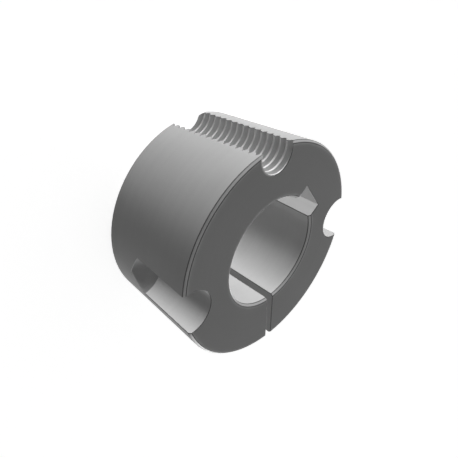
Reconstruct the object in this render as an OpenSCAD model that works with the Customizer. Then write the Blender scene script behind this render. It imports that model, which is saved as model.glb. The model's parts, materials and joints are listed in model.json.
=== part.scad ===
// Split taper bush: a one-piece conical ring that is pulled into a tapered hub by screws
// and closes on its shaft along a single slit.
// It stands on its small end, with the axis along Z, the large end up and the keyway at +Y.
// Angles run anticlockwise, seen from the large end.

/* [Taper body] */
// Diameter of the cone at the large end, before its edge is broken
large_d = 47.6; // [45:0.1:51]
// Overall length along the axis
length = 25.4; // [20:0.1:40]
// Included angle of the taper, in degrees
taper_angle = 8; // [4:0.5:12]
// Chamfer on the outer edge of the large end
large_edge = 0.5; // [0.2:0.1:1.5]
// Chamfer on the outer edge of the small end
small_edge = 1; // [0.2:0.1:2]

/* [Bore] */
// Diameter of the shaft bore
bore_d = 24; // [14:0.5:28]
// Chamfer on both edges of the bore
bore_edge = 0.5; // [0.2:0.1:1]

/* [Keyway] */
// Width of the keyway
key_w = 8; // [3:0.5:10]
// Depth of the keyway's flat floor below the crown of the bore
key_depth = 2.6; // [1:0.1:3]

/* [Screw half-holes] */
// Diameter of the circle on which the three screw axes lie
pitch_d = 44.3; // [43:0.1:45]
// Diameter of the two plain half-holes
plain_d = 9.7; // [6:0.1:10.5]
// Depth of the plain half-holes to the shoulder of the drill point
plain_depth = 14.9; // [8:0.1:16]
// Angle of the drill point, in degrees
drill_angle = 118; // [90:1:140]
// Angle from the jacking hole to each plain half-hole
plain_spread = 95; // [85:1:110]
// Minor diameter of the threaded jacking half-hole, which runs right through
jack_d = 7.8; // [5:0.1:9]
// Angle from the keyway to the jacking hole
jack_turn = 55; // [45:1:60]

/* [Slit] */
// Width of the slit, cut through the wall opposite the jacking hole
slit_w = 1.6; // [0.8:0.1:3]

/* [Hidden] */
$fn = 128;
// Extra length of each cut past the face that it leaves through
past = 1;
bore_r = bore_d / 2;
// Directions of the features round the axis
key_at = 90;
jack_at = key_at + jack_turn;
slit_at = jack_at + 180;

// Radius of the outer cone at a height above the small end
function cone_r(z) = large_d / 2 - (length - z) * tan(taper_angle / 2);

// Turned ring: tapered outside, straight bore, every edge broken
module turned_ring() {
    small_end = [[bore_r + bore_edge, 0], [cone_r(0) - small_edge, 0], [cone_r(small_edge), small_edge]];
    large_end = [[cone_r(length - large_edge), length - large_edge], [large_d / 2 - large_edge, length]];
    bore_wall = [[bore_r + bore_edge, length], [bore_r, length - bore_edge], [bore_r, bore_edge]];
    rotate_extrude() polygon(concat(small_end, large_end, bore_wall));
}

// Moves a cut out to the pitch circle, in the given direction
module on_pitch_circle(angle) {
    rotate([0, 0, angle]) translate([pitch_d / 2, 0, 0]) children();
}

// Drilled blind from the large end, with the drill's conical point at the bottom
module plain_hole() {
    r = plain_d / 2;
    shoulder = length - plain_depth;
    tip = shoulder - r / tan(drill_angle / 2);
    rotate_extrude() polygon([[0, tip], [r, shoulder], [r, length + past], [0, length + past]]);
}

// Tapped hole at its minor diameter, open at both ends
module jacking_hole() {
    translate([0, 0, -past]) cylinder(d = jack_d, h = length + 2 * past);
}

// Flat-floored keyway along the whole bore
module keyway() {
    rotate([0, 0, key_at])
        translate([0, -key_w / 2, -past])
            cube([bore_r + key_depth, key_w, length + 2 * past]);
}

// Saw cut from the bore to the outside, along the whole length
module slit() {
    rotate([0, 0, slit_at])
        translate([0, -slit_w / 2, -past])
            cube([large_d / 2 + past, slit_w, length + 2 * past]);
}

module bush() {
    color([0.45, 0.45, 0.46])
        difference() {
            turned_ring();
            keyway();
            slit();
            on_pitch_circle(jack_at) jacking_hole();
            for (side = [-1, 1]) on_pitch_circle(jack_at + side * plain_spread) plain_hole();
        }
}

bush();
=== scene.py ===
import json
import math

import bmesh
import bpy
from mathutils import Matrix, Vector


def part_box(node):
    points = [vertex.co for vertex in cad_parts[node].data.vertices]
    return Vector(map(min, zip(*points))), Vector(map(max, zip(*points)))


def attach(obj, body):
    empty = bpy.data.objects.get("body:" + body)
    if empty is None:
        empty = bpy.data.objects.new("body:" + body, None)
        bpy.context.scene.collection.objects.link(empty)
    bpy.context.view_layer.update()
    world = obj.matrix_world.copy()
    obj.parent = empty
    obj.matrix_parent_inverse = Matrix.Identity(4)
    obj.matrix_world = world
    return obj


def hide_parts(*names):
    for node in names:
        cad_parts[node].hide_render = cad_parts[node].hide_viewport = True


# A split taper bush that stands on its small end, as its solid in the frame does.
# Lengths are in metres. The axis is Z, with the large end up and the keyway at +Y.

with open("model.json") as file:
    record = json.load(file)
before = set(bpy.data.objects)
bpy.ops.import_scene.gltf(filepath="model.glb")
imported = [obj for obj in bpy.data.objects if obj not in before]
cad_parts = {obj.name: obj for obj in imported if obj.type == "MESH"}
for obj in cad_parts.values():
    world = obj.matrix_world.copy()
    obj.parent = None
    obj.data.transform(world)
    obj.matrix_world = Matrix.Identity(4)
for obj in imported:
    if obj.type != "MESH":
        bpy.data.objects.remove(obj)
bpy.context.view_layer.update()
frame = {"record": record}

MM = 0.001

# Sizes of the bush, taken from its solid and its record where they give them
MOUNTS = {mount["name"]: mount for mount in frame["record"]["mounts"]}
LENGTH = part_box("bush")[1].z
LARGE_R = 23.8 * MM
TAPER = math.tan(math.radians(4))
LARGE_EDGE = 0.5 * MM
SMALL_EDGE = 1.0 * MM
BORE_R = MOUNTS["bore"]["dims"]["r_mm"] * MM
BORE_EDGE = 0.5 * MM
KEY_W = 8.0 * MM
KEY_FLOOR = MOUNTS["keyway"]["pos_m"][1]
JACK_R = 3.9 * MM
PLAIN_R = 4.85 * MM
PLAIN_DEPTH = 14.9 * MM
DRILL_HALF_ANGLE = math.radians(59)
SLIT_W = 1.6 * MM

# The jacking thread is 3/8 in across with 16 turns to the inch
THREAD_PITCH = 25.4 / 16 * MM
THREAD_R = 4.76 * MM
THREAD_ROOT_W = THREAD_PITCH / 8
THREAD_TILT = math.radians(30)
# The thread's cut runs this far past each end, which leaves its mouth at the large end round
THREAD_LEAD_IN = 1.8 * MM

# The small break that a deburring tool leaves on each cut edge
BREAK_W = 0.12 * MM
BREAK_SEGMENTS = 3
BREAK_ANGLE = math.radians(30)
FLAT_ANGLE = math.radians(0.05)
# How far a cut runs past the face that it leaves through
PAST = 2.0 * MM
# How far the thread's cut starts inside the wall of its hole
INSIDE = 0.2 * MM
# A turned shape is swept round a circle as small as a point, and a weld of this reach closes it
AXLE_R = 0.001 * MM
AXLE_WELD = 5 * AXLE_R
# Facets of the round surfaces, turned so that no facet ends beside a corner
RING_SEGMENTS = 93
RING_TURN = math.radians(2.468)
JACK_SEGMENTS = 44
PLAIN_SEGMENTS = 48
PLAIN_FACET_TURN = math.pi / PLAIN_SEGMENTS
THREAD_SEGMENTS = 60
SMOOTH_ANGLE = math.radians(40)

# How near two places count as one, and how squarely a face looks a way to count as looking there
NEAR = 0.01 * MM
SQUARE = 0.95
# After the thread is cut, edges shorter than this are closed up, which leaves no slivers
WELD = 0.016 * MM


def bearing(name):
    """How far out a mount's axis lies, and in which direction."""
    place = Vector(MOUNTS[name]["pos_m"])
    return place.xy.length, math.atan2(place.y, place.x)


PITCH_R, JACK_TURN = bearing("jacking_half_hole")
NEAR_TURN = bearing("plain_half_hole_near_key")[1]
FAR_TURN = bearing("plain_half_hole_far_side")[1]
JACK_X, JACK_Y = MOUNTS["jacking_half_hole"]["pos_m"][:2]


# Node helpers


class Sum:
    """A number inside a node tree that takes plain arithmetic."""

    def __init__(self, tree, socket):
        self.tree = tree
        self.socket = socket

    def __neg__(self):
        return worked_out(self.tree, "MULTIPLY", self, -1.0)

    def __abs__(self):
        return worked_out(self.tree, "ABSOLUTE", self)

    def __add__(self, other):
        return worked_out(self.tree, "ADD", self, other)

    def __sub__(self, other):
        return worked_out(self.tree, "SUBTRACT", self, other)

    def __rsub__(self, other):
        return worked_out(self.tree, "SUBTRACT", other, self)

    def __mul__(self, other):
        return worked_out(self.tree, "MULTIPLY", self, other)

    def __truediv__(self, other):
        return worked_out(self.tree, "DIVIDE", self, other)

    def __rtruediv__(self, other):
        return worked_out(self.tree, "DIVIDE", other, self)

    def __gt__(self, other):
        return worked_out(self.tree, "GREATER_THAN", self, other)

    def __lt__(self, other):
        return worked_out(self.tree, "LESS_THAN", self, other)

    def at_least(self, other):
        return worked_out(self.tree, "MAXIMUM", self, other)

    def at_most(self, other):
        return worked_out(self.tree, "MINIMUM", self, other)

    def cosine(self):
        return worked_out(self.tree, "COSINE", self)

    def sine(self):
        return worked_out(self.tree, "SINE", self)


def plug(tree, socket, value):
    """Sets an input to a value, or links it to another node's output."""
    if isinstance(value, Sum):
        tree.links.new(value.socket, socket)
    elif isinstance(value, bpy.types.NodeSocket):
        tree.links.new(value, socket)
    else:
        socket.default_value = value


def add(tree, kind, inputs=None, **settings):
    """Adds a node with its settings, and its inputs by name or by place."""
    node = tree.nodes.new(kind)
    for name, value in settings.items():
        setattr(node, name, value)
    for key, value in (inputs or {}).items():
        plug(tree, node.inputs[key], value)
    return node


def worked_out(tree, operation, *values):
    """The result of one piece of arithmetic on one or two numbers."""
    node = add(tree, "ShaderNodeMath", dict(enumerate(values)), operation=operation)
    return Sum(tree, node.outputs[0])


def vector(tree, x=0.0, y=0.0, z=0.0):
    """A vector from three numbers."""
    return add(tree, "ShaderNodeCombineXYZ", {"X": x, "Y": y, "Z": z}).outputs[0]


def parts_of(tree, whole):
    """The three numbers of a vector."""
    split = add(tree, "ShaderNodeSeparateXYZ", {0: whole})
    return tuple(Sum(tree, split.outputs[axis]) for axis in ("X", "Y", "Z"))


def distance_from_axis(tree, whole, x=0.0, y=0.0):
    """How far a point lies from the upright line through (x, y)."""
    across, deep, _ = parts_of(tree, whole)
    flat = vector(tree, x=across - x, y=deep - y)
    return Sum(tree, add(tree, "ShaderNodeVectorMath", {0: flat}, operation="LENGTH").outputs["Value"])


# Finishes. In the materials, places and lengths are in millimetres.

GLOSS = 0.4
# A noise node's own values lie about the middle, mostly within this reach of it
NOISE_MIDDLE = 0.5
NOISE_REACH = 0.25
# Patch sizes of what changes slowly along a surface
SWAY_PATCH = 8.0
STRENGTH_PATCH = 4.5
RUBBED_PATCH = 1.4
# How much the fine lines and the broad bands of a tool's marks count
LINES_IN_TONE = 0.5
BANDS_IN_TONE = 0.6
LINES_IN_HEIGHT = 0.7
BANDS_IN_HEIGHT = 0.3
# How much the grain counts beside its specks, and beside the tool's marks
GRAIN_BESIDE_SPECKS = 0.5
GRAIN_BESIDE_MARKS = 0.5
# Where the slitting saw's centre stood at the end of its cut, out from the axis and up
SAW_OUT = 52.0
SAW_UP = 9.0
# Sets the bands of a tool's marks apart from its fine lines
BAND_SHIFT = 55.0
# What each effect adds to the tone, to the roughness and to the share of bare metal
TONE_SHARES = {"Marks": 0.03, "Grain": 0.02, "Film": -0.04, "Burnish": 0.12}
ROUGHNESS_SHARES = {"Marks": 0.02, "Grain": 0.02, "Film": -0.05, "Burnish": -0.12}
BARE_SHARES = {"Marks": 0.02, "Burnish": 0.35}
# The smoothest and the roughest that these can make a finish
SMOOTHEST = 0.15
ROUGHEST = 0.9


def shader_group(name, numbers, vectors, results):
    """A new shader node group with its named inputs and outputs."""
    group = bpy.data.node_groups.new(name, "ShaderNodeTree")
    for label in vectors:
        group.interface.new_socket(label, in_out="INPUT", socket_type="NodeSocketVector")
    for label, start in numbers.items():
        socket = group.interface.new_socket(label, in_out="INPUT", socket_type="NodeSocketFloat")
        socket.default_value = start
    for label, kind in results.items():
        group.interface.new_socket(label, in_out="OUTPUT", socket_type=kind)
    inputs = group.nodes.new("NodeGroupInput")
    outputs = group.nodes.new("NodeGroupOutput")
    given = {label: Sum(group, inputs.outputs[label]) for label in (*vectors, *numbers)}
    return group, given, outputs


def noise(tree, patch, place=None, along=None, detail=2.0, rough=0.5):
    """Noise of one patch size over a place or along one length, mostly between -1 and 1."""
    inputs = {"Scale": 1.0 / patch, "Detail": detail, "Roughness": rough}
    if along is None:
        inputs["Vector"] = place
        node = add(tree, "ShaderNodeTexNoise", inputs, noise_dimensions="3D")
    else:
        inputs["W"] = along
        node = add(tree, "ShaderNodeTexNoise", inputs, noise_dimensions="1D")
    return (Sum(tree, node.outputs[0]) - NOISE_MIDDLE) / NOISE_REACH


def iron_grain_group():
    """The fine grain of cast iron, with small dark specks of graphite."""
    group, given, outputs = shader_group(
        "iron_grain",
        {
            "Grain size": 0.45,
            "Speck size": 0.17,
            "Speck rarity": 1.05,
            "Speck darkness": 5.0,
            "Speck depth": 2.0,
        },
        ["Place"],
        {"Tone": "NodeSocketFloat", "Height": "NodeSocketFloat"},
    )
    grain = noise(group, given["Grain size"], place=given["Place"], detail=3.0, rough=0.6)
    speck = noise(group, given["Speck size"], place=given["Place"], detail=1.0)
    dark = (speck - given["Speck rarity"]).at_least(0.0)
    plug(group, outputs.inputs["Tone"], grain - dark * given["Speck darkness"])
    plug(group, outputs.inputs["Height"], grain * GRAIN_BESIDE_SPECKS - dark * given["Speck depth"])
    return group


def tool_marks_group():
    """Lines that a cutting tool leaves, fine ones and broader bands, stronger in some places."""
    group, given, outputs = shader_group(
        "tool_marks",
        {"Along": 0.0, "Pitch": 0.2, "Band width": 1.5, "Sway": 0.05, "Unevenness": 0.35},
        ["Place"],
        {"Tone": "NodeSocketFloat", "Height": "NodeSocketFloat"},
    )
    along = given["Along"] + noise(group, SWAY_PATCH, place=given["Place"]) * given["Sway"]
    lines = noise(group, given["Pitch"], along=along, rough=0.7)
    bands = noise(group, given["Band width"], along=along + BAND_SHIFT)
    strength = noise(group, STRENGTH_PATCH, place=given["Place"], detail=1.0) * given["Unevenness"] + 1.0
    tone = lines * LINES_IN_TONE + bands * BANDS_IN_TONE
    height = lines * LINES_IN_HEIGHT + bands * BANDS_IN_HEIGHT
    plug(group, outputs.inputs["Tone"], tone * strength)
    plug(group, outputs.inputs["Height"], height * strength)
    return group


def oil_film_group():
    """A thin film of rust-proofing oil, thicker in soft patches."""
    group, given, outputs = shader_group(
        "oil_film", {"Patch size": 9.0}, ["Place"], {"Tone": "NodeSocketFloat"}
    )
    film = noise(group, given["Patch size"], place=given["Place"], detail=3.0, rough=0.45)
    plug(group, outputs.inputs["Tone"], film)
    return group


def rim_burnish_group():
    """A narrow, uneven border that handling has rubbed smoother, along an edge."""
    group, given, outputs = shader_group(
        "rim_burnish",
        {"Distance": 1.0, "Width": 0.6, "Unevenness": 0.35},
        ["Place"],
        {"Mask": "NodeSocketFloat"},
    )
    uneven = noise(group, RUBBED_PATCH, place=given["Place"], detail=3.0) * given["Unevenness"] + 1.0
    rubbed = 1.0 - given["Distance"] / (given["Width"] * uneven)
    plug(group, outputs.inputs["Mask"], rubbed.at_least(0.0))
    return group


def with_shares(given, start, shares):
    """A start value, and each effect's share on top of it."""
    for effect, share in shares.items():
        start = given[effect] * share + start
    return start


def metal_mix_group():
    """Puts a finish together from its tone, its roughness and its effects."""
    group, given, outputs = shader_group(
        "metal_mix",
        {"Base tone": 0.3, "Base roughness": 0.6, "Marks": 0.0, "Grain": 0.0, "Film": 0.0, "Burnish": 0.0},
        [],
        {"Color": "NodeSocketColor", "Roughness": "NodeSocketFloat", "Bare metal": "NodeSocketFloat"},
    )
    tone = given["Base tone"] * with_shares(given, 1.0, TONE_SHARES)
    grey = add(group, "ShaderNodeCombineColor", {"Red": tone, "Green": tone, "Blue": tone})
    rough = with_shares(given, given["Base roughness"], ROUGHNESS_SHARES)
    bare = with_shares(given, 0.0, BARE_SHARES)
    plug(group, outputs.inputs["Color"], grey.outputs[0])
    plug(group, outputs.inputs["Roughness"], rough.at_least(SMOOTHEST).at_most(ROUGHEST))
    plug(group, outputs.inputs["Bare metal"], bare.at_least(0.0).at_most(1.0))
    return group


GROUPS = {
    "grain": iron_grain_group(),
    "marks": tool_marks_group(),
    "film": oil_film_group(),
    "burnish": rim_burnish_group(),
    "mix": metal_mix_group(),
}


def placed(tree, effect, inputs):
    """Puts a shader group into a material, with its own values."""
    node = tree.nodes.new("ShaderNodeGroup")
    node.node_tree = GROUPS[effect]
    for label, value in inputs.items():
        plug(tree, node.inputs[label], value)
    return node.outputs


def up_the_axis(tree, place):
    """Rings round a turned, bored or drilled wall."""
    return parts_of(tree, place)[2]


def out_from_axis(tree, place):
    """Rings on a faced end."""
    return distance_from_axis(tree, place)


def across_the_key(tree, place):
    """Lines that run the way the broach was pulled, on the keyway's floor and on its walls."""
    across, deep, _ = parts_of(tree, place)
    return across + deep


def out_from_saw(tree, place):
    """Wide arcs, as the rim of the slitting saw left them."""
    turn = JACK_TURN + math.pi
    middle = (math.cos(turn) * SAW_OUT, math.sin(turn) * SAW_OUT, SAW_UP)
    back = add(tree, "ShaderNodeVectorMath", {0: place, 1: middle}, operation="DISTANCE")
    return Sum(tree, back.outputs["Value"])


def out_from_screw(tree, place):
    """Lines that run round the thread's flanks."""
    return distance_from_axis(tree, place, x=JACK_X / MM, y=JACK_Y / MM)


def from_the_ends(tree, place):
    """Distance from the nearer end."""
    up = parts_of(tree, place)[2]
    return up.at_most(LENGTH / MM - up)


def from_the_rims(tree, place):
    """Distance from the nearer rim of a faced end, inner or outer."""
    radius = distance_from_axis(tree, place)
    up = parts_of(tree, place)[2]
    small_rim = LARGE_R - LENGTH * TAPER - SMALL_EDGE
    rise = (LARGE_R - LARGE_EDGE - small_rim) / LENGTH
    outer = up * rise + small_rim / MM - radius
    return outer.at_most(radius - (BORE_R + BORE_EDGE) / MM)


def cut_metal(name, tone, roughness=0.6, marks=None, pitch=0.2, band=1.5, depth=0.003, rims=None):
    """A cut surface of the bush, with its tool's marks, its grain and its film of oil."""
    material = bpy.data.materials.new(name)
    material.use_nodes = True
    tree = material.node_tree
    surface = tree.nodes["Principled BSDF"]
    surface.inputs["Specular IOR Level"].default_value = GLOSS
    around = add(tree, "ShaderNodeTexCoord").outputs["Object"]
    place = add(tree, "ShaderNodeVectorMath", {0: around, "Scale": 1 / MM}, operation="SCALE").outputs[0]
    grain = placed(tree, "grain", {"Place": place})
    film = placed(tree, "film", {"Place": place})
    effects = {"Grain": grain["Tone"], "Film": film["Tone"]}
    height = Sum(tree, grain["Height"]) * GRAIN_BESIDE_MARKS
    if marks is not None:
        along = marks(tree, place)
        lines = placed(tree, "marks", {"Place": place, "Along": along, "Pitch": pitch, "Band width": band})
        effects["Marks"] = lines["Tone"]
        height = height + Sum(tree, lines["Height"])
    if rims is not None:
        rubbed = placed(tree, "burnish", {"Place": place, "Distance": rims(tree, place)})
        effects["Burnish"] = rubbed["Mask"]
    mix = placed(tree, "mix", {"Base tone": tone, "Base roughness": roughness, **effects})
    plug(tree, surface.inputs["Base Color"], mix["Color"])
    plug(tree, surface.inputs["Roughness"], mix["Roughness"])
    if marks is not None:
        plug(tree, surface.inputs["Metallic"], mix["Bare metal"])
    bump = add(tree, "ShaderNodeBump", {"Height": height, "Strength": 1.0, "Distance": depth * MM})
    plug(tree, surface.inputs["Normal"], bump.outputs[0])
    return material


# The tone and the roughness of each finish, where its tool's marks run, how far apart their lines
# and their bands lie, how deep they are, and which rims handling has rubbed
FINISHES = {
    "turned_taper": dict(tone=0.3, marks=up_the_axis, pitch=0.18, band=1.4, rims=from_the_ends),
    "faced_end": dict(tone=0.27, marks=out_from_axis, pitch=0.2, band=1.2, rims=from_the_rims),
    "bored_wall": dict(tone=0.31, marks=up_the_axis, pitch=0.14, band=1.1, rims=from_the_ends),
    # The broached walls are a lighter tone than the floor: a painted highlight, so that the walls look
    # lit.
    "broached_wall": dict(tone=0.42, roughness=0.55, marks=across_the_key, pitch=0.16, band=0.8),
    "broached_floor": dict(tone=0.3, marks=across_the_key, pitch=0.16, band=0.8),
    "sawn_slit": dict(tone=0.28, roughness=0.65, marks=out_from_saw, pitch=0.25, band=1.3, depth=0.005),
    "drilled_wall": dict(tone=0.31, marks=up_the_axis, pitch=0.22, band=1.0, depth=0.004),
    # The thread's flanks and crests are lighter than the rest of the iron: partly freshly cut metal,
    # partly a painted highlight.
    "tapped_flank": dict(tone=0.45, roughness=0.5, marks=out_from_screw, pitch=0.1, band=0.4, depth=0.002),
    "thread_crest": dict(tone=0.52, roughness=0.42, marks=up_the_axis, pitch=0.1, band=0.3, depth=0.002),
    "broken_edge": dict(tone=0.06, roughness=0.5),
}
finish = {name: cut_metal(name, **settings) for name, settings in FINISHES.items()}


# Shapes


def geometry_tree(name, sizes, takes_mesh=False):
    """A new Geometry Nodes tree with one named input for each size."""
    tree = bpy.data.node_groups.new(name, "GeometryNodeTree")
    if takes_mesh:
        tree.interface.new_socket("Mesh", in_out="INPUT", socket_type="NodeSocketGeometry")
    for size in sizes:
        tree.interface.new_socket(size, in_out="INPUT", socket_type="NodeSocketFloat")
    tree.interface.new_socket("Mesh", in_out="OUTPUT", socket_type="NodeSocketGeometry")
    group_in = tree.nodes.new("NodeGroupInput")
    sums = {size: Sum(tree, group_in.outputs[size]) for size in sizes}
    return tree, group_in, sums


def finished(tree, mesh, name, where=True):
    """Gives a mesh, or the faces picked on it, one of the finishes."""
    inputs = {"Geometry": mesh, "Material": finish[name], "Selection": where}
    return add(tree, "GeometryNodeSetMaterial", inputs).outputs[0]


def end_tree(tree, mesh, finishes):
    """Ends a tree in real geometry, with the finishes that go on last."""
    ready = add(tree, "GeometryNodeRealizeInstances", {"Geometry": mesh}).outputs[0]
    for name, where in finishes.items():
        ready = finished(tree, ready, name, where)
    out = tree.nodes.new("NodeGroupOutput")
    tree.links.new(ready, out.inputs[0])
    return tree


def run_tree(piece, tree, sizes):
    """Puts a tree on a piece with its sizes set, and keeps the result as the piece's mesh."""
    modifier = piece.modifiers.new(tree.name, "NODES")
    modifier.node_group = tree
    for item in tree.interface.items_tree:
        if item.in_out == "INPUT" and item.name in sizes:
            modifier[item.identifier] = sizes[item.name]
    settle(piece)


def settle(piece):
    """Turns a piece and its modifiers into a plain mesh."""
    ready = piece.evaluated_get(bpy.context.evaluated_depsgraph_get())
    mesh = bpy.data.meshes.new_from_object(ready)
    piece.modifiers.clear()
    piece.data = mesh


def outline(tree, corners, closed):
    """A curve through (across, along) corners, in the order given."""
    line = add(tree, "GeometryNodeMeshLine", {"Count": len(corners)})
    pick = add(tree, "GeometryNodeIndexSwitch", data_type="VECTOR")
    while len(pick.index_switch_items) < len(corners):
        pick.index_switch_items.new()
    index = add(tree, "GeometryNodeInputIndex")
    plug(tree, pick.inputs["Index"], index.outputs[0])
    for place, (across, along) in enumerate(corners):
        # A swept outline comes out with its Y downwards, so it is drawn upside down
        plug(tree, pick.inputs[str(place)], vector(tree, x=across, y=-along))
    shaped = add(
        tree, "GeometryNodeSetPosition", {"Geometry": line.outputs[0], "Position": pick.outputs[0]}
    )
    curve = add(tree, "GeometryNodeMeshToCurve", {"Mesh": shaped.outputs[0]})
    if closed:
        curve = add(tree, "GeometryNodeSetSplineCyclic", {"Geometry": curve.outputs[0], "Cyclic": True})
    return curve.outputs[0]


def swept(tree, path, section):
    """A solid with a section all along a path, its faces outwards."""
    tube = add(
        tree, "GeometryNodeCurveToMesh", {"Curve": path, "Profile Curve": section, "Fill Caps": True}
    )
    return add(tree, "GeometryNodeFlipFaces", {"Mesh": tube.outputs[0]}).outputs[0]


def revolved(tree, corners, segments, closed):
    """Turns an outline of (radius, height) corners about Z into a solid."""
    axle = add(tree, "GeometryNodeCurvePrimitiveCircle", {"Resolution": segments, "Radius": AXLE_R})
    solid = swept(tree, axle.outputs[0], outline(tree, corners, closed))
    return welded(tree, solid, AXLE_WELD)


def welded(tree, mesh, distance):
    """Closes up the edges shorter than a distance, each to one point."""
    inputs = {"Geometry": mesh, "Distance": distance}
    return add(tree, "GeometryNodeMergeByDistance", inputs, mode="CONNECTED").outputs[0]


def moved(tree, mesh, shift=(0.0, 0.0, 0.0), turn=0.0):
    """Moves a mesh, then turns it about Z."""
    there = add(tree, "GeometryNodeTransform", {"Geometry": mesh, "Translation": vector(tree, *shift)})
    euler = add(tree, "FunctionNodeEulerToRotation", {"Euler": vector(tree, z=turn)})
    turned = add(
        tree, "GeometryNodeTransform", {"Geometry": there.outputs[0], "Rotation": euler.outputs[0]}
    )
    return turned.outputs[0]


def cut(tree, mesh, cutters):
    """Takes cutters out of a mesh. Each wall that a cutter leaves has the cutter's finish."""
    node = add(
        tree, "GeometryNodeMeshBoolean", {"Mesh 1": mesh}, operation="DIFFERENCE", solver="MANIFOLD"
    )
    for cutter in cutters:
        tree.links.new(cutter, node.inputs["Mesh 2"])
    return node.outputs["Mesh"]


BODY_SIZES = {
    "Length": LENGTH,
    "Large radius": LARGE_R,
    "Taper": TAPER,
    "Large edge": LARGE_EDGE,
    "Small edge": SMALL_EDGE,
    "Bore radius": BORE_R,
    "Bore edge": BORE_EDGE,
    "Key width": KEY_W,
    "Key floor": KEY_FLOOR,
    "Slit width": SLIT_W,
    "Pitch radius": PITCH_R,
    "Plain radius": PLAIN_R,
    "Plain depth": PLAIN_DEPTH,
    "Jack radius": JACK_R,
    "Jack turn": JACK_TURN,
    "Near turn": NEAR_TURN,
    "Far turn": FAR_TURN,
}


def turned_ring(tree, size):
    """The ring as it leaves the lathe, with its taper, its ends and its bore."""
    length, bore_r, bore_edge = size["Length"], size["Bore radius"], size["Bore edge"]
    large_r, large_edge, small_edge = size["Large radius"], size["Large edge"], size["Small edge"]
    small_r = large_r - length * size["Taper"]
    corners = [
        (bore_r + bore_edge, 0.0),
        (small_r - small_edge, 0.0),
        (small_r + small_edge * size["Taper"], small_edge),
        (large_r - large_edge * size["Taper"], length - large_edge),
        (large_r - large_edge, length),
        (bore_r + bore_edge, length),
        (bore_r, length - bore_edge),
        (bore_r, bore_edge),
    ]
    ring = moved(tree, revolved(tree, corners, RING_SEGMENTS, closed=True), turn=RING_TURN)
    return finished(tree, ring, "turned_taper")


def plain_hole(tree, size, turn):
    """A blind hole with the drill's point at its bottom."""
    radius, length = size["Plain radius"], size["Length"]
    shoulder = length - size["Plain depth"]
    tip = shoulder - radius / math.tan(DRILL_HALF_ANGLE)
    top = length + PAST
    corners = [(0.0, tip), (radius, shoulder), (radius, top), (0.0, top)]
    drill = moved(tree, revolved(tree, corners, PLAIN_SEGMENTS, closed=False), turn=PLAIN_FACET_TURN)
    drill = finished(tree, drill, "drilled_wall")
    return moved(tree, drill, (size["Pitch radius"], 0.0, 0.0), turn)


def jack_hole(tree, size):
    """The jacking hole at its tapping size, right through."""
    radius, top = size["Jack radius"], size["Length"] + PAST
    corners = [(0.0, -PAST), (radius, -PAST), (radius, top), (0.0, top)]
    drill = finished(tree, revolved(tree, corners, JACK_SEGMENTS, closed=False), "drilled_wall")
    return moved(tree, drill, (size["Pitch radius"], 0.0, 0.0), size["Jack turn"])


def slot_block(tree, size, reach, width, turn):
    """A block along the whole axis, from inside the bore out to a reach."""
    # It starts halfway out in the bore, where it stands in the open
    start = size["Bore radius"] / 2
    deep, wide = (reach - start) / 2, width / 2
    corners = [(-deep, -wide), (deep, -wide), (deep, wide), (-deep, wide)]
    ends = {"Start": vector(tree, z=-PAST), "End": vector(tree, z=size["Length"] + PAST)}
    path = add(tree, "GeometryNodeCurvePrimitiveLine", ends)
    block = swept(tree, path.outputs[0], outline(tree, corners, closed=True))
    return moved(tree, block, (start + deep, 0.0, 0.0), turn)


def facing(tree):
    """How squarely each face looks along X, Y and Z, either way."""
    normal = add(tree, "GeometryNodeInputNormal").outputs[0]
    return [abs(part) for part in parts_of(tree, normal)]


def from_axis(tree, x=0.0, y=0.0):
    """How far each face lies from the upright line through (x, y)."""
    return distance_from_axis(tree, add(tree, "GeometryNodeInputPosition").outputs[0], x, y)


def keyway_broach(tree, size):
    """What the broach takes out, its walls a lighter tone than its floor as a painted highlight."""
    block = slot_block(tree, size, size["Key floor"], size["Key width"], math.pi / 2)
    block = finished(tree, block, "broached_floor")
    return finished(tree, block, "broached_wall", facing(tree)[0] > SQUARE)


def slitting_saw(tree, size):
    """What the saw takes out, opposite the jacking half-hole."""
    reach, turn = size["Large radius"] + PAST, size["Jack turn"] + math.pi
    return finished(tree, slot_block(tree, size, reach, size["Slit width"], turn), "sawn_slit")


def body_tree():
    """The bush before its edges are broken and its thread is cut."""
    tree, _, size = geometry_tree("bush_body", BODY_SIZES)
    cutters = [
        keyway_broach(tree, size),
        slitting_saw(tree, size),
        plain_hole(tree, size, size["Near turn"]),
        plain_hole(tree, size, size["Far turn"]),
        jack_hole(tree, size),
    ]
    body = cut(tree, turned_ring(tree, size), cutters)
    inner = from_axis(tree) < size["Bore radius"] + size["Bore edge"]
    level = facing(tree)[2] > SQUARE
    return end_tree(tree, body, {"bored_wall": inner, "faced_end": level})


def break_edges(piece):
    """Rounds the sharp edges that a deburring tool reaches, all but the lips of the drill points."""
    shoulder = LENGTH - PLAIN_DEPTH
    tip = shoulder - PLAIN_R / math.tan(DRILL_HALF_ANGLE)
    shape = bmesh.new()
    shape.from_mesh(piece.data)
    # Each flat face is made whole first, so that no line across it ends beside a corner
    bmesh.ops.dissolve_limit(
        shape, angle_limit=FLAT_ANGLE, verts=shape.verts, edges=shape.edges, delimit={"MATERIAL"}
    )
    weight = shape.edges.layers.float.new("bevel_weight_edge")
    for edge in shape.edges:
        at_drill_point = all(tip - NEAR < vert.co.z < shoulder + NEAR for vert in edge.verts)
        if edge.calc_face_angle_signed() > BREAK_ANGLE and not at_drill_point:
            edge[weight] = 1.0
    shape.to_mesh(piece.data)
    shape.free()
    piece.data.materials.append(finish["broken_edge"])
    bevel = piece.modifiers.new("broken_edges", "BEVEL")
    bevel.width = BREAK_W
    bevel.segments = BREAK_SEGMENTS
    bevel.limit_method = "WEIGHT"
    bevel.material = len(piece.data.materials) - 1
    bevel.use_clamp_overlap = False
    settle(piece)


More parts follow.
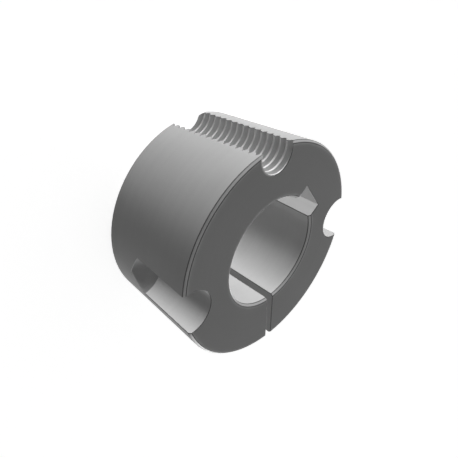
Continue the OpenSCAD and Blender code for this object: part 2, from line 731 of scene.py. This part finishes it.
THREAD_SIZES = {
    "Length": LENGTH,
    "Pitch radius": PITCH_R,
    "Jack turn": JACK_TURN,
    "Hole radius": JACK_R,
    "Major radius": THREAD_R,
    "Pitch": THREAD_PITCH,
    "Root width": THREAD_ROOT_W,
}


def thread_ridge(tree, size):
    """The solid that a tap of 60 degrees sweeps out, one right-hand turn for each pitch."""
    inner = size["Hole radius"] - INSIDE
    depth = size["Major radius"] - inner
    narrow = size["Root width"] / 2
    wide = narrow + depth * math.tan(THREAD_TILT)
    height = size["Length"] + 2 * THREAD_LEAD_IN
    # The node's own turns run left-handed, so it is reversed
    helix = add(
        tree,
        "GeometryNodeCurveSpiral",
        {
            "Resolution": THREAD_SEGMENTS,
            "Rotations": height / size["Pitch"],
            "Start Radius": inner,
            "End Radius": inner,
            "Height": height,
            "Reverse": True,
        },
    )
    level = add(tree, "GeometryNodeSetCurveNormal", {"Curve": helix.outputs[0]}, mode="Z_UP")
    corners = [(0.0, -wide), (depth, -narrow), (depth, narrow), (0.0, wide)]
    ridge = swept(tree, level.outputs[0], outline(tree, corners, closed=True))
    ridge = finished(tree, ridge, "tapped_flank")
    return moved(tree, ridge, (size["Pitch radius"], 0.0, -THREAD_LEAD_IN), size["Jack turn"])


def thread_tree():
    """Cuts the thread into the jacking half-hole, and leaves the drilled wall between as its crest."""
    tree, group_in, size = geometry_tree("jacking_thread", THREAD_SIZES, takes_mesh=True)
    body = cut(tree, group_in.outputs["Mesh"], [thread_ridge(tree, size)])
    turn, out = size["Jack turn"], size["Pitch radius"]
    near_screw = from_axis(tree, out * turn.cosine(), out * turn.sine()) < size["Major radius"]
    drilled = add(tree, "GeometryNodeMaterialSelection", {"Material": finish["drilled_wall"]})
    return end_tree(tree, welded(tree, body, WELD), {"thread_crest": near_screw * drilled.outputs[0]})


def taper_bush():
    """The whole bush, with its edges broken and its thread cut."""
    bush = bpy.data.objects.new("taper_bush", bpy.data.meshes.new("taper_bush"))
    bpy.context.scene.collection.objects.link(bush)
    run_tree(bush, body_tree(), BODY_SIZES)
    break_edges(bush)
    run_tree(bush, thread_tree(), THREAD_SIZES)
    bush.data.shade_smooth()
    bush.data.set_sharp_from_angle(angle=SMOOTH_ANGLE)
    weighted = bush.modifiers.new("flat_faces_stay_flat", "WEIGHTED_NORMAL")
    weighted.keep_sharp = True
    settle(bush)
    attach(bush, "root")
    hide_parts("bush")


# Floor, lights and camera

FLOOR_REACH = 3.0
# The floor lies a hair below the small end, so that the two never share a plane
FLOOR_LEVEL = -0.02 * MM
FLOOR_TONE = 0.8
# The light all round, and how bright the paper floor looks by itself
ROOM_LIGHT = 0.255
FLOOR_GLOW = 0.8
# The camera's place, and how it is turned about X, Y and Z in degrees, as the photo was taken
CAMERA_PLACE = Vector((-93.634, -16.561, 80.375)) * MM
CAMERA_TURN = (-35.356, -44.878, 55.01)
# Its lens and its sensor are in millimetres, and the nearest and farthest it sees in metres
LENS = 42.415
SENSOR_W = 36.0
NEAREST_SEEN = 0.01
FARTHEST_SEEN = 20.0


def seen_directly(tree):
    """1 for what the camera, a reflection or a glass shows, and 0 for the light that falls on things."""
    path = add(tree, "ShaderNodeLightPath")
    seen = Sum(tree, path.outputs["Is Camera Ray"])
    for ray in ("Is Glossy Ray", "Is Transmission Ray"):
        seen = seen.at_least(Sum(tree, path.outputs[ray]))
    return seen


def paper_floor():
    """A plain white floor that keeps the bush's soft shadow."""
    mesh = bpy.data.meshes.new("floor")
    sides = [(-1, -1), (1, -1), (1, 1), (-1, 1)]
    corners = [(x * FLOOR_REACH, y * FLOOR_REACH, FLOOR_LEVEL) for x, y in sides]
    mesh.from_pydata(corners, [], [(0, 1, 2, 3)])
    floor = bpy.data.objects.new("floor", mesh)
    bpy.context.scene.collection.objects.link(floor)
    paper = bpy.data.materials.new("floor_paper")
    paper.use_nodes = True
    surface = paper.node_tree.nodes["Principled BSDF"]
    surface.inputs["Base Color"].default_value = (FLOOR_TONE, FLOOR_TONE, FLOOR_TONE, 1.0)
    surface.inputs["Roughness"].default_value = 1.0
    surface.inputs["Specular IOR Level"].default_value = 0.0
    surface.inputs["Emission Color"].default_value = (1.0, 1.0, 1.0, 1.0)
    glow = seen_directly(paper.node_tree) * FLOOR_GLOW
    plug(paper.node_tree, surface.inputs["Emission Strength"], glow)
    mesh.materials.append(paper)


def room_light():
    """Even light from all round, white where the camera or a reflection shows it."""
    world = bpy.data.worlds.new("room")
    world.use_nodes = True
    tree = world.node_tree
    background = tree.nodes["Background"]
    background.inputs["Color"].default_value = (1.0, 1.0, 1.0, 1.0)
    plug(tree, background.inputs["Strength"], seen_directly(tree) * (1.0 - ROOM_LIGHT) + ROOM_LIGHT)
    bpy.context.scene.world = world


def soft_lamp(name, turn, height, strength, spread):
    """A far, soft lamp without shadows, by its bearing and height in degrees."""
    lamp = bpy.data.lights.new(name, "SUN")
    lamp.energy = strength
    lamp.angle = math.radians(spread)
    lamp.use_shadow = False
    stand = bpy.data.objects.new(name, lamp)
    # A lamp shines down its own Z, so it stands tilted from upright and then turned to its bearing
    stand.rotation_euler = (0.0, math.radians(90.0 - height), math.radians(turn))
    bpy.context.scene.collection.objects.link(stand)


def look():
    """The camera, where the photo was taken from."""
    camera = bpy.data.objects.new("camera", bpy.data.cameras.new("camera"))
    bpy.context.scene.collection.objects.link(camera)
    camera.location = CAMERA_PLACE
    camera.rotation_euler = [math.radians(turn) for turn in CAMERA_TURN]
    camera.data.lens = LENS
    camera.data.sensor_width = SENSOR_W
    camera.data.clip_start = NEAREST_SEEN
    camera.data.clip_end = FARTHEST_SEEN
    bpy.context.scene.camera = camera


taper_bush()
paper_floor()
room_light()
soft_lamp("window", turn=116.0, height=-14.0, strength=4.8, spread=20.0)
soft_lamp("fill", turn=325.0, height=-5.0, strength=1.3, spread=20.0)
soft_lamp("back", turn=15.0, height=-8.0, strength=1.3, spread=20.0)
look()
bpy.context.scene.view_settings.view_transform = "Standard"
